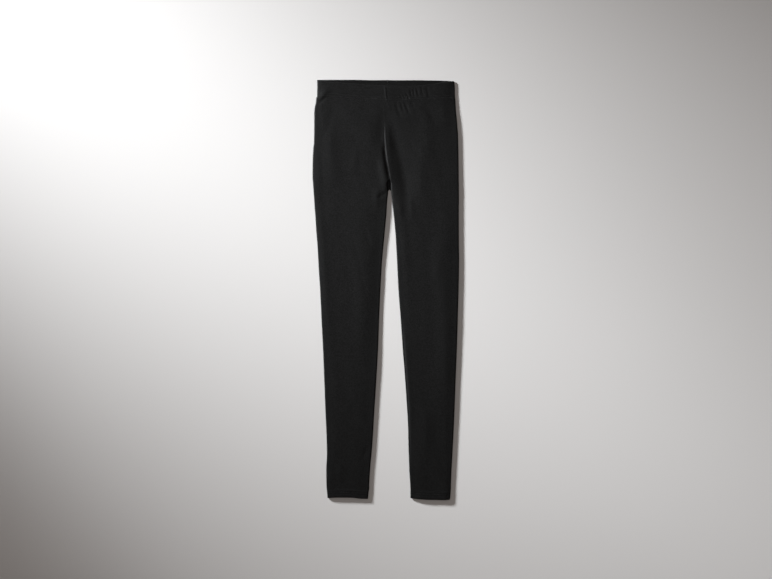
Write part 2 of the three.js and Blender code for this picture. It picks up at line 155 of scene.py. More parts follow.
# Centre seams: x of the front seam and of the back seam.
CENTRE = table(
    "down front back",
    (0, -3.6, 4.0),
    (14, -2.8, 4.3),
    (32, -0.4, 4.8),
    (50, 1.6, 5.2),
    (58, -1.6, 5.4),
    (72, -2.9, 5.8),
    (107, -3.1, 6.4),
    (124, -3.6, 6.8),
    (147, -3.0, 7.2),
    (164, -2.2, 7.5),
    (176, -0.6, 7.8),
    (189, 1.4, 8.0),
    (204, 4.4, 8.2),
    (215, 6.8, 8.4),
    (225, 8.4, 8.5),
    (234, 9.4, 8.6),
    (270, 9.4, 8.8),
)

# Outlines of the legs: x of the outer side fold, and of the inner edge below the crotch.
RIGHT_OUTLINE = table(
    "down side inner",
    (38, -162.3, 9.0),
    (46, -163.3, 9.0),
    (58, -164.6, 9.0),
    (70, -167.3, 9.0),
    (84, -168.0, 9.0),
    (112, -168.1, 9.0),
    (148, -168.9, 9.0),
    (160, -170.4, 9.0),
    (196, -171.9, 9.0),
    (226, -172.1, 9.0),
    (234, -171.6, 9.0),
    (237, -171.3, 5.7),
    (241, -171.0, 4.9),
    (250, -170.4, 4.9),
    (262, -169.6, 5.5),
    (281, -168.3, 3.5),
    (298, -167.2, 2.4),
    (316, -165.8, 1.2),
    (352, -163.4, -2.1),
    (387, -160.7, -5.4),
    (422, -158.6, -8.7),
    (458, -156.6, -10.9),
    (493, -154.2, -12.7),
    (563, -151.0, -15.8),
    (634, -147.3, -18.4),
    (704, -144.5, -22.3),
    (775, -141.9, -26.8),
    (845, -138.9, -31.0),
    (880, -138.3, -33.8),
    (903, -139.5, -36.0),
    (951, -139.6, -39.0),
    (963, -139.0, -39.0),
    (970, -138.2, -40.2),
    (LENGTH, -136.8, -41.8),
)
LEFT_OUTLINE = table(
    "down side inner",
    (38, 163.0, 10.0),
    (70, 164.6, 10.0),
    (84, 165.9, 10.0),
    (98, 167.3, 10.0),
    (112, 168.3, 10.0),
    (126, 169.5, 10.0),
    (168, 170.5, 10.0),
    (234, 171.3, 10.0),
    (237, 171.3, 11.1),
    (241, 171.4, 11.5),
    (250, 171.5, 11.8),
    (262, 171.6, 12.3),
    (281, 171.7, 14.6),
    (298, 171.4, 16.5),
    (316, 171.3, 18.4),
    (352, 171.4, 22.1),
    (387, 171.6, 24.4),
    (422, 172.1, 26.3),
    (493, 170.9, 29.7),
    (528, 169.9, 32.4),
    (563, 169.0, 35.1),
    (634, 166.8, 40.1),
    (704, 164.0, 45.5),
    (775, 161.4, 50.2),
    (810, 159.9, 52.2),
    (845, 158.2, 53.0),
    (916, 154.4, 55.2),
    (951, 153.0, 57.2),
    (966, 152.6, 57.8),
    (LENGTH, 150.9, 58.0),
)

# Outer side folds of the waistband.
BAND_SIDES = table(
    "down right left",
    (0, -161.2, 160.6),
    (12, -160.8, 162.0),
    (28, -161.2, 162.1),
    (52, -161.4, 163.6),
)

# Edges of the waistband, as lengths down. The front sags below the back between the sides.
BAND_EDGES = table(
    "x front_top front_foot back_top back_foot",
    (-162, 0.2, 40.2, 0.2, 40.2),
    (-133, 4.3, 41.6, 0.1, 40.5),
    (-112, 5.4, 43.2, 0.1, 40.8),
    (-74, 8.4, 46.4, 0.1, 41.3),
    (-38, 11.5, 49.2, 0.9, 41.9),
    (-4, 12.3, 50.2, 0.9, 42.4),
    (12, 13.0, 50.4, 1.0, 42.7),
    (38, 14.8, 50.2, 1.2, 43.1),
    (56, 14.6, 49.6, 1.1, 43.4),
    (73, 13.4, 48.9, 1.0, 43.7),
    (108, 9.8, 47.2, 1.5, 44.3),
    (134, 5.4, 46.3, 1.9, 44.8),
    (162, 3.0, 45.4, 3.0, 45.4),
)

# Hem edges, as lengths down.
HEM_EDGES = table(
    "x down",
    (-138, 982.6),
    (-128, 981.4),
    (-112, 980.8),
    (-78, 981.2),
    (-60, 983.2),
    (-41, 983.8),
    (58, 982.4),
    (72, 984.2),
    (92, 985.6),
    (112, 986.2),
    (140, 986.6),
    (151, 985.6),
)

# A fold has half its width, its height, which is below 0 for a trough, and a path of (x, down) points.
Fold = namedtuple("Fold", "half height path")
# A gather is a narrow trough that leans to +x on its way down.
Gather = namedtuple("Gather", "x lean top foot half depth")

# Folds on the front, laid after the lights and darks of the photograph.
FRONT_FOLDS = [
    # Centre front: the ridge of the seam allowance, the groove beside it, and the wide trough where the
    # left panel is drawn down towards the crotch.
    Fold(2.2, 0.55, [(-3, 12), (0, 31), (2, 51)]),
    Fold(1.6, 0.16, [(-3, 54), (-3, 108)]),
    Fold(1.8, 0.6, [(-1.5, 104), (0, 144), (3.2, 176), (7.6, 208), (12, 232)]),
    Fold(7, 0.8, [(3, 108), (5, 144), (9, 190), (15, 240)]),
    Fold(3.6, -1.7, [(-4.5, 146), (-2.5, 176), (1.5, 200), (4.5, 214), (8.5, 240)]),
    Fold(13, -1.9, [(1, 66), (12, 100), (20, 130), (27, 160), (34, 190), (40, 224), (46, 262), (48, 290)]),
    Fold(22, -1.2, [(32, 110), (44, 150), (52, 190), (54, 230), (54, 300)]),
    Fold(18, 0.7, [(98, 56), (98, 150), (84, 190), (80, 248), (72, 292)]),
    # Beside the seam on the right, down to the creases of the crotch.
    Fold(15, 1.0, [(-50, 92), (-36, 128), (-32, 166)]),
    Fold(11, -0.9, [(-7, 74), (-9, 120), (-8, 156)]),
    Fold(9, 1.6, [(-10, 184), (-6, 212), (0, 240), (1, 256)]),
    Fold(7, 0.8, [(-20, 256), (-22, 292)]),
    Fold(5, -0.8, [(6, 262), (-8, 269), (-20, 279)]),
    # Left hip and thigh. The third lowers the left end of the waistband.
    Fold(8, -0.6, [(90, 56), (103, 77), (116, 100)]),
    Fold(10, 0.5, [(134, 62), (143, 108)]),
    Fold(26, -2.2, [(172, -20), (172, 30), (176, 70)]),
    Fold(5, -0.35, [(54, 146), (68, 164), (84, 184)]),
    Fold(7, -0.3, [(44, 274), (48, 332)]),
    Fold(5, 0.4, [(59, 268), (62, 326)]),
    Fold(10, 0.35, [(28, 254), (33, 300), (38, 346), (43, 398), (48, 444)]),
    Fold(
        23,
        1.0,
        [(143, 316), (135, 372), (127, 420), (128, 455), (136, 500), (142, 590), (137, 690), (128, 790)],
    ),
    Fold(9, 0.4, [(120, 424), (119, 474)]),
    # Right hip and thigh, with the crease at the corner of the waistband.
    Fold(3.0, -0.6, [(-140, 38), (-158, 56)]),
    Fold(7, 1.0, [(-138, 22), (-146, 35), (-156, 44)]),
    Fold(
        9,
        0.8,
        [(-157, 104), (-160, 196), (-159, 250), (-155, 316), (-150, 387), (-145, 458), (-137, 634)],
    ),
    Fold(10, -0.4, [(-126, 66), (-136, 108), (-148, 142)]),
    Fold(16, 0.8, [(-104, 64), (-74, 100), (-44, 142)]),
    Fold(8, 0.5, [(-72, 158), (-71, 210)]),
    Fold(20, 1.0, [(-133, 118), (-131, 190), (-129, 256)]),
    Fold(7, -0.5, [(-51, 336), (-36, 392)]),
    Fold(6, -0.3, [(-79, 360), (-60, 440), (-42, 518)]),
    Fold(22, 0.6, [(-58, 290), (-56, 400), (-52, 520), (-60, 650)]),
    Fold(18, -1.0, [(0, 290), (-6, 352), (-12, 430), (-17, 540), (-22, 660)]),
    # Calves and ankles: first the allowance of the left inseam, close to its edge, and last the left
    # corners of the hems, which lie low.
    Fold(2.0, -2.3, [(37.4, 556), (42.6, 634), (48, 704), (52.6, 775), (55.4, 845), (57, 900)]),
    Fold(6, 0.7, [(44, 556), (49, 634), (54, 704), (59, 775), (61, 845)]),
    Fold(14, 0.6, [(92, 768), (94, 900)]),
    Fold(9, -0.3, [(104, 802), (123, 860)]),
    Fold(8, -0.4, [(128, 884), (136, 926)]),
    Fold(5, -0.5, [(-43, 860), (-54, 890)]),
    Fold(8, 0.6, [(-110, 902), (-104, 942)]),
    Fold(14, -1.3, [(-140, 968), (-142, 996)]),
    Fold(14, -1.3, [(56, 968), (54, 996)]),
]
BAND_GATHERS = [
    Gather(36, 8, 33, 45, 2.2, 0.4),
    Gather(43, 7, 33, 46, 2.2, 0.4),
    Gather(52, 8, 32, 46, 2.3, 0.5),
    Gather(59, 4, 21, 40, 2.2, 0.45),
    Gather(66, 3.5, 21, 40, 2.3, 0.45),
    Gather(75, 4.5, 18, 40, 2.5, 0.5),
    Gather(86, 6, 17, 39, 2.9, 0.5),
    Gather(98.5, 6, 18, 38, 3.2, 0.35),
]
PANEL_GATHERS = [
    Gather(14.5, 4, 55, 71, 3.0, 0.25),
    Gather(29, 13, 52, 90, 4.0, 0.5),
    Gather(38.5, 8, 52, 74, 2.4, 0.55),
    Gather(50, 12, 51, 80, 2.8, 0.65),
    Gather(62.5, 7, 49, 64, 2.5, 0.35),
]

# Soft troughs on the back, which lies on the surface: their height is that of the cloth above it.
BACK_FOLDS = [
    Fold(3.0, 0.8, [(6.2, 60), (7.2, 130), (8.4, 228)]),
    Fold(8, 0.7, [(24, 96), (44, 150), (58, 214)]),
    Fold(8, 0.7, [(-18, 120), (-42, 168), (-52, 226)]),
    Fold(10, 0.6, [(96, 130), (118, 196)]),
    Fold(10, 0.5, [(-106, 110), (-124, 180)]),
    Fold(7, 0.7, [(28, 270), (44, 318), (56, 380)]),
    Fold(7, 0.6, [(-16, 274), (-34, 330)]),
    Fold(9, 0.5, [(112, 460), (92, 520)]),
    Fold(8, 0.5, [(-92, 520), (-70, 566)]),
    Fold(7, 0.6, [(74, 640), (104, 664), (136, 672)]),
    Fold(7, 0.6, [(-58, 628), (-92, 650), (-124, 652)]),
    Fold(8, 0.5, [(96, 840), (88, 884)]),
    Fold(8, 0.5, [(-70, 850), (-84, 900)]),
]

# A leg, with the width over which its front falls gently towards the inseam.
Leg = namedtuple("Leg", "sign outline side roll inner_roll")
RIGHT = Leg(-1, RIGHT_OUTLINE, "right", "right_roll", 44.0)
LEFT = Leg(1, LEFT_OUTLINE, "left", "left_roll", 24.0)

# Twin needle rows: how far each lies above the edge it holds.
CASING_ROWS = (4.7, 10.3)
HEM_ROWS = (7.3, 12.9)
STITCH_LIFT = 0.12  # how far a stitch lies above the cloth it is sewn through
MIDDLE_HEIGHT = 1.0  # stitches of the front lie above this height, and those of the back below it

# Sizes of the patterns in the materials, in millimetres.
DYE_PATCH = 38.0
GRAIN = 2.2
PLY_PITCH = 0.7
BOARD_PATCH = 770.0
WAVE_RADIANS = 10  # a diagonal wave texture turns by this much in each unit of length at scale 1
PLY_SCALE = 2 * math.pi / (WAVE_RADIANS * PLY_PITCH / 1000)

JERSEY_ROUGHNESS = 0.52


def smooth(share):
    share = np.clip(share, 0, 1)
    return share * share * (3 - 2 * share)


def mix(a, b, share):
    return a + (b - a) * share


def along(rows, column, at, key="down"):
    """Values of a table's column at places along its key, on a smooth curve through the rows."""
    xs, ys = rows[key], rows[column]
    at = np.clip(at, xs[0], xs[-1])
    i = np.clip(np.searchsorted(xs, at, side="right") - 1, 0, len(xs) - 2)
    low = np.maximum(np.arange(len(xs)) - 1, 0)
    high = np.minimum(np.arange(len(xs)) + 1, len(xs) - 1)
    slope = (ys[high] - ys[low]) / (xs[high] - xs[low])
    width = xs[i + 1] - xs[i]
    u = (at - xs[i]) / width
    return (
        ys[i] * (1 + 2 * u) * (1 - u) ** 2
        + ys[i + 1] * u * u * (3 - 2 * u)
        + slope[i] * width * u * (1 - u) ** 2
        - slope[i + 1] * width * u * u * (1 - u)
    )


def rise(distance, roll):
    """Quarter-ellipse rise of a rounded edge: 0 at the edge, 1 once it is a roll's width in."""
    return np.sqrt(1 - (1 - np.clip(distance / roll, 0, 1)) ** 2)


def edge_rise(distance, roll):
    """Rise of the front from an edge: a tight turn, then a gentle slope."""
    return TURN_SHARE * rise(distance, TIGHT_ROLL) + (1 - TURN_SHARE) * smooth(distance / roll)


def fold_height(fold, x, down):
    """Height of one fold at points: a soft stroke along its path, fading in and out at its ends."""
    path = np.array(fold.path, float)
    reach = FOLD_REACH * fold.half
    inside = (
        (x > path[:, 0].min() - reach)
        & (x < path[:, 0].max() + reach)
        & (down > path[:, 1].min() - reach)
        & (down < path[:, 1].max() + reach)
    )
    runs = np.concatenate([[0], np.cumsum(np.hypot(*np.diff(path, axis=0).T))])
    count = max(3, round(runs[-1] / (DAB_SPACING * fold.half)) + 1)
    share = np.linspace(0, 1, count)
    taper = smooth(FADE_LEAST + np.minimum(share, 1 - share) / FADE_SHARE)
    dabs = np.stack([np.interp(share * runs[-1], runs, path[:, k]) for k in (0, 1)])
    from_middle = np.sum((dabs - dabs[:, count // 2, None]) ** 2, 0)
    weights = fold.height * taper / np.sum(taper * np.exp(-from_middle / fold.half**2))
    px, pd = x[inside], down[inside]
    height = np.zeros(x.shape)
    for weight, cx, cd in zip(weights, *dabs):
        height[inside] += weight * np.exp(-((px - cx) ** 2 + (pd - cd) ** 2) / fold.half**2)
    return height


def gather_fold(g):
    return Fold(g.half, -g.depth, [(g.x - g.lean / 2, g.top), (g.x + g.lean / 2, g.foot)])


def ripple(x, down):
    """Slight unevenness of limp cloth: a few long crossing waves."""
    return (
        0.07 * np.sin(x / 11.3 + 0.9 * np.sin(down / 47.0) + 0.4)
        + 0.06 * np.sin(x / 6.1 - down / 39.0 + 1.7 * np.sin(down / 83.0))
        + 0.05 * np.sin(down / 17.0 + x / 23.0 + 1.3 * np.sin(x / 31.0))
    )


def front_relief(x, down, depth):
    folds = FRONT_FOLDS + [gather_fold(g) for g in BAND_GATHERS + PANEL_GATHERS]
    return depth * (sum(fold_height(f, x, down) for f in folds) + ripple(x, down))


def back_relief(x, down, depth):
    waves = np.maximum(2 * ripple(x + 37, down + 211), 0)
    return depth * (sum(fold_height(f, x, down) for f in BACK_FOLDS) + waves)


def needle_dents(above, rows, depth):
    """How far a twin row pulls the cloth in, at a height above the edge that it holds."""
    return sum(-depth * np.exp(-(((above - r) / NEEDLE_HALF) ** 2)) for r in rows)


def seam_dip(distance, down):
    """How far the cloth turns down into a centre seam."""
    depth = SEAM_DIP + CROTCH_DIP * smooth((down - PULL_FROM) / PULL_FADE)
    return -depth * np.exp(-((distance / SEAM_HALF) ** 2))


def panel_down(row, x, layer):
    """Length down of a panel row at x: the top row follows the waistband, and the last the hem's edge."""
    sag = along(BAND_EDGES, f"{layer}_foot", x, "x") + SEAM_GAP - PANEL_TOP
    foot = along(HEM_EDGES, "down", x, "x") - LENGTH - HEM_ROUND
    bent = smooth((row - LAST_STRAIGHT) / (LENGTH - LAST_STRAIGHT))
    return row + sag * (1 - smooth((row - PANEL_TOP) / SAG_FADE)) + foot * bent


def steps(*stretches):
    """Places along a line, from stretches of (end, spacing), starting at the first number."""
    start, *rest = stretches
    places = [np.array([start])]
    for end, spacing in rest:
        count = max(1, round((end - start) / spacing))
        places.append(np.linspace(start, end, count + 1)[1:])
        start = end
    return np.concatenate(places)


def arc(count, to_edge):
    """Shares across a rounded edge, close together at its outermost line."""
    t = np.arange(count) / count
    return 1 - np.cos((math.pi / 2) * (1 - t if to_edge else t))


def columns_of(front_shares, roll_steps, under_steps, back_steps):
    """Columns of a section as three arrays: layer, zone and share across the zone.

    The layer is 0 for the front and 1 for the back, and the zone 0 for the inner edge, 1 for the flat and
    2 for the side fold.
    """
    parts = [
        (0, 0, arc(roll_steps, False)),
        (0, 1, front_shares),
        (0, 2, arc(roll_steps, True)),
        (1, 2, arc(under_steps, False)),
        (1, 1, np.arange(back_steps) / back_steps),
        (1, 0, arc(under_steps, True)),
        (1, 0, np.zeros(1)),
    ]
    layer = np.concatenate([np.full(len(s), a) for a, _, s in parts])
    zone = np.concatenate([np.full(len(s), b) for _, b, s in parts])
    return layer, zone, np.concatenate([s for _, _, s in parts])


Section = namedtuple(
    "Section",
    "side front_inner back_inner front_shut back_shut height side_roll inner_roll wall "
    "down front_more back_more curl",
)


def skins(section, columns):
    """Outer and inner skin of a wall as (rows, columns, 3) arrays, in x, down and height.

    A section's fields are (rows, 1) arrays. Its shut fields are 0 where the edge is open at a centre seam
    and 1 at an inseam. down gives the length down at an x, the two more fields add relief to the front and
    the back, and curl lifts the back.
    """
    layer, zone, share = (c[None, :] for c in columns)
    front = layer == 0
    inner = np.where(front, section.front_inner, section.back_inner)
    shut = np.where(front, section.front_shut, section.back_shut)
    turn = np.where(front, TIGHT_ROLL, UNDER_ROLL)
    width = np.abs(section.side - inner)
    inward = np.sign(section.side - inner)
    flat = mix(turn, width - turn, np.where(front, share, 1 - share))
    from_inner = np.where(zone == 0, turn * share, np.where(zone == 2, width - turn * share, flat))
    x = inner + inward * from_inner
    from_side = width - from_inner
    side_rise = np.where(front, edge_rise(from_side, section.side_roll), rise(from_side, UNDER_ROLL))
    inner_rise = np.where(front, edge_rise(from_inner, section.inner_roll), rise(from_inner, UNDER_ROLL))
    wall = section.wall
    inner_x = inner + inward * (wall * shut + from_inner * (width - wall - wall * shut) / width)
    down = np.where(front, section.down(x, "front"), section.down(x, "back"))

    full = side_rise * mix(1, inner_rise, shut)
    dip = (1 - shut) * seam_dip(from_inner, down)
    relief = section.front_more(x, down) + dip
    top = FOLD_HEIGHT + (section.height - FOLD_HEIGHT + relief) * full
    least = FOLD_HEIGHT + (wall + LAYER_GAP - FOLD_HEIGHT) * full
    front_inner_z = np.maximum(top - wall * full, least) + SKIN_LIFT
    front_z = np.maximum(top, front_inner_z - SKIN_LIFT + LEAST_WALL_SHARE * wall * full)

    lift = np.maximum(1 - side_rise, shut * (1 - inner_rise))
    rest = section.back_more(x, down) * (1 - lift) - dip
    curl = section.curl(x, down)
    back_z = FOLD_HEIGHT * lift + np.minimum(rest, BACK_HIGHEST) + curl
    trough = np.minimum(rest, BACK_INNER_HIGHEST) * BACK_INNER_SHARE
    back_inner_z = wall + (FOLD_HEIGHT - wall + SKIN_LIFT) * lift + trough + curl
    outer = np.stack([x, down, np.where(front, front_z, back_z)], -1)
    inside = np.stack([inner_x, down, np.where(front, front_inner_z, back_inner_z)], -1)
    return outer, inside


def to_world(points):
    """Row-frame metres from x, down and height in millimetres."""
    return np.stack([points[..., 0], TOP_Y - points[..., 1], points[..., 2]], -1) / 1000


def rounded_cap(a, b, push, loops=3):
    """Rings between two edges of a wall, pushed out to make a round edge: (loops, n, 3)."""
    t = math.pi * np.arange(1, loops + 1)[:, None, None] / (loops + 1)
    return mix(a[None], b[None], (1 - np.cos(t)) / 2) + np.sin(t) * np.asarray(push)[None, None]


def smooth_mesh(name, points, faces, material):
    """A smooth mesh object from x, down and height in millimetres."""
    mesh = bpy.data.meshes.new(name)
    mesh.from_pydata(to_world(points).tolist(), [], faces)
    mesh.polygons.foreach_set("use_smooth", np.ones(len(mesh.polygons), bool))
    mesh.materials.append(material)
    mesh.update()
    piece = bpy.data.objects.new(name, mesh)
    bpy.context.scene.collection.objects.link(piece)
    return piece


class Grid:
    """Gathers the points and faces of one mesh."""

    def __init__(self, sign):
        self.sign, self.points, self.uvs, self.faces, self.count = sign, [], [], [], 0

    def add(self, points, uvs):
        shape = points.shape[:-1]
        index = self.count + np.arange(int(np.prod(shape))).reshape(shape)
        self.points.append(points.reshape(-1, 3))
        self.uvs.append(uvs.reshape(-1, 2))
        self.count += index.size
        return index

    def skin(self, index, outward=True):
        corners = [index[:-1, :-1], index[1:, :-1], index[1:, 1:], index[:-1, 1:]]
        quads = np.stack(corners, -1).reshape(-1, 4)
        same = (quads[:, 0] == quads[:, 3]) | (quads[:, 0] == quads[:, 1])
        quads = quads[~same]
        self.faces.append(quads if (self.sign > 0) == outward else quads[:, ::-1])

    def finish(self, name, material, replaced):
        faces = np.concatenate(self.faces).tolist()
        piece = smooth_mesh(name, np.concatenate(self.points), faces, material)
        mesh = piece.data
        uv = mesh.uv_layers.new(name="cloth")
        corner = np.zeros(len(mesh.loops), np.int32)
        mesh.loops.foreach_get("vertex_index", corner)
        uv.data.foreach_set("uv", np.concatenate(self.uvs)[corner].astype(np.float32).ravel())
        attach(piece, BODY)
        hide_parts(*replaced)
        return piece


def thread_lengths(points):
    """Place of each point in the knit, in metres: across along the courses, and down along the wales."""
    step = np.linalg.norm(np.diff(points, axis=1), axis=-1)
    across = np.concatenate([np.zeros((len(points), 1)), np.cumsum(step, 1)], 1)
    middle = across[:, across.shape[1] // 2][:, None]
    return np.stack([across - middle, points[..., 1]], -1) / 1000


def cloth_wall(name, leg, outer, inner, tube_from, folded_row, material, replaced):
    """One closed wall of cloth. From the row tube_from on, its first and last column are one seam.

    Its folded row, 0 at the top or -1 at the foot, is a round edge, and the other a cut one.
    """
    grid = Grid(leg.sign)
    uvs = thread_lengths(outer)
    index = {}
    for key, points in (("outer", outer), ("inner", inner)):
        index[key] = grid.add(points, uvs)
        index[key][tube_from:, -1] = index[key][tube_from:, 0]
    grid.skin(index["outer"])
    grid.skin(index["inner"], outward=False)
    middle = outer.shape[1] // 4  # a column in the middle of the front
    half = 0.5 * np.linalg.norm(outer[-1, middle] - inner[-1, middle])
    for row, away, outward in ((0, -half, False), (-1, half, True)):
        rings = rounded_cap(outer[row], inner[row], (0, away if row == folded_row else 0, 0))
        ring = grid.add(rings, np.broadcast_to(uvs[row], rings.shape[:-1] + (2,)))
        if index["outer"][row][0] == index["outer"][row][-1]:
            ring[:, -1] = ring[:, 0]
        grid.skin(np.concatenate([index["outer"][row][None], ring, index["inner"][row][None]]), outward)
    open_rows = slice(0, tube_from + 1)
    for column, outward in ((0, True), (-1, False)):
        a, b = index["outer"][open_rows, column], index["inner"][open_rows, column]
        if len(a) > 1:
            grid.skin(np.stack([a, b], 1), not outward)
    return grid.finish(name, material, replaced)


# Spacings of the columns across a front: fine over the width next to the centre, and coarse beyond it.
Spacing = namedtuple("Spacing", "fine coarse fine_width width")
LEG_SPACING = {"right": Spacing(2.2, 2.2, 60, 150), "left": Spacing(1.5, 3.0, 66, 145)}
BAND_SPACING = {"right": Spacing(1.8, 1.8, 60, 141), "left": Spacing(0.85, 1.4, 110, 141)}


def front_shares(spacing):
    """Shares across the flat of a front."""
    places = steps(0, (spacing.fine_width, spacing.fine), (spacing.width, spacing.coarse))
    return places[:-1] / spacing.width


def leg_section(leg, row, wall, depth):
    """Section of a leg at its rows, from the waistband to the hem's edge."""
    row = row[:, None]
    inseam = along(leg.outline, "inner", row)
    seam = leg.sign * SEAM_GAP / 2
    front_inner = np.where(row < FRONT_SPLIT, along(CENTRE, "front", row) + seam, inseam)
    parted = smooth((row - BACK_SPLIT) / (CROTCH - BACK_SPLIT))
    back_inner = mix(along(CENTRE, "back", row) + seam, inseam, parted)
    above_hem = LENGTH - row
    hem = smooth((HEM_DEPTH + EDGE_STEP / 2 - above_hem) / EDGE_STEP)
    dents = needle_dents(above_hem, HEM_ROWS, HEM_DENT)
    puff = PUFF * np.exp(-(((above_hem - HEM_DEPTH - PUFF_ABOVE) / PUFF_HALF) ** 2))
    return Section(
        side=along(leg.outline, "side", row),
        front_inner=front_inner,
        back_inner=back_inner,
        front_shut=smooth((row - FRONT_SPLIT) / SHUT_LENGTH),
        back_shut=parted,
        height=along(PROFILE, "height", row) + HEM_RISE * hem,
        side_roll=along(PROFILE, leg.roll, row),
        inner_roll=mix(TIGHT_ROLL, leg.inner_roll, smooth((row - FRONT_SPLIT) / INSEAM_FADE)),
        wall=wall * (1 + HEM_EXTRA_WALL * hem),
        down=lambda x, layer: panel_down(row, x, layer),
        front_more=lambda x, down: front_relief(x, down, depth) + dents + puff,
        back_more=lambda x, down: back_relief(x, down, depth) - dents,
        curl=lambda x, down: 0 * x,
    )


def band_section(leg, share, wall, depth):
    """Section of half the waistband, at shares of the way from its top edge to its foot."""
    share = share[:, None]
    nominal = BAND_DEPTH * share
    seam = leg.sign * SEAM_GAP / 2

    def down(x, layer):
        top = along(BAND_EDGES, f"{layer}_top", x, "x") + (0.5 * wall if layer == "front" else 0)
        bump = BUMP_HEIGHT * np.exp(-(((x - BUMP_X) / BUMP_HALF) ** 2)) if layer == "back" else 0
        return mix(top - bump * (1 - share), along(BAND_EDGES, f"{layer}_foot", x, "x"), share)

    def above_foot(x, layer):
        return along(BAND_EDGES, f"{layer}_foot", x, "x") - down(x, layer)

    def front_more(x, place):
        above = above_foot(x, "front")
        step = CASING_RISE * smooth(above / EDGE_STEP)
        return front_relief(x, place, depth) + needle_dents(above, CASING_ROWS, CASING_DENT) + step

    def back_more(x, place):
        dents = needle_dents(above_foot(x, "back"), CASING_ROWS, CASING_DENT)
        return back_relief(x, place, depth) - dents

    def curl(x, place):
        """The back's top edge stands up where the front sags away from it."""
        room = along(BAND_EDGES, "front_top", x, "x") - along(BAND_EDGES, "back_top", x, "x")
        reach = np.maximum(room + CURL_REACH, CURL_LEAST)
        return CURL_HEIGHT * smooth(room / CURL_ROOM) * smooth(1 - (place - CURL_START) / reach)

    return Section(
        side=along(BAND_SIDES, leg.side, nominal),
        front_inner=along(CENTRE, "front", mix(BAND_FRONT_TOP, BAND_FRONT_FOOT, share)) + seam,
        back_inner=along(CENTRE, "back", nominal) + seam,
        front_shut=0 * share,
        back_shut=0 * share,
        height=along(PROFILE, "height", nominal),
        side_roll=along(PROFILE, leg.roll, nominal),
        inner_roll=leg.inner_roll,
        wall=wall + 0 * share,
        down=down,
        front_more=front_more,
        back_more=back_more,
        curl=curl,
    )


def linear(hex_colour):
    """Linear colour from an sRGB hex value."""
    parts = [int(hex_colour[i : i + 2], 16) / 255 for i in (1, 3, 5)]
    return [c / 12.92 if c <= 0.04045 else ((c + 0.055) / 1.055) ** 2.4 for c in parts]


def add_node(tree, kind, settings=None, inputs=None):
    """Adds a node with its settings, and sets or links its inputs."""
    node = tree.nodes.new(kind)
    for key, value in (settings or {}).items():
        setattr(node, key, value)
    for key, value in (inputs or {}).items():
        if isinstance(value, bpy.types.NodeSocket):
            tree.links.new(value, node.inputs[key])
        else:
            node.inputs[key].default_value = value
    return node


def new_material(name):
    material = bpy.data.materials.new(name)
    material.use_nodes = True
    return material, material.node_tree, material.node_tree.nodes["Principled BSDF"]


def knit_height(tree, wale, course):
    """Height of plain knit at a point: two slanted legs of yarn for each stitch, from the real pitches."""
    slope = 1.3  # stitches that a leg of yarn climbs over the width of one
    deep = 0.35  # share of the yarn's height that changes along a stitch
    kind = "ShaderNodeMath"
    uv = add_node(tree, "ShaderNodeUVMap", {"uv_map": "cloth"}).outputs["UV"]
    place = add_node(tree, "ShaderNodeSeparateXYZ", inputs={"Vector": uv})
    across = add_node(tree, kind, {"operation": "DIVIDE"}, {0: place.outputs["X"], 1: wale})
    down = add_node(tree, kind, {"operation": "DIVIDE"}, {0: place.outputs["Y"], 1: course})
    off = add_node(tree, kind, {"operation": "PINGPONG"}, {0: across.outputs[0], 1: 0.5})
    climb = {0: off.outputs[0], 1: slope, 2: down.outputs[0]}
    slant = add_node(tree, kind, {"operation": "MULTIPLY_ADD"}, climb)
    waves = []
    for value in (off, slant):
        turn = add_node(tree, kind, {"operation": "MULTIPLY"}, {0: value.outputs[0], 1: 2 * math.pi})
        waves.append(add_node(tree, kind, {"operation": "SINE"}, {0: turn.outputs[0]}).outputs[0])
    ridge, stitch = waves
    yarn = add_node(tree, kind, {"operation": "MULTIPLY_ADD"}, {0: stitch, 1: deep, 2: 1 - deep})
    return add_node(tree, kind, {"operation": "MULTIPLY"}, {0: ridge, 1: yarn.outputs[0]}).outputs[0]


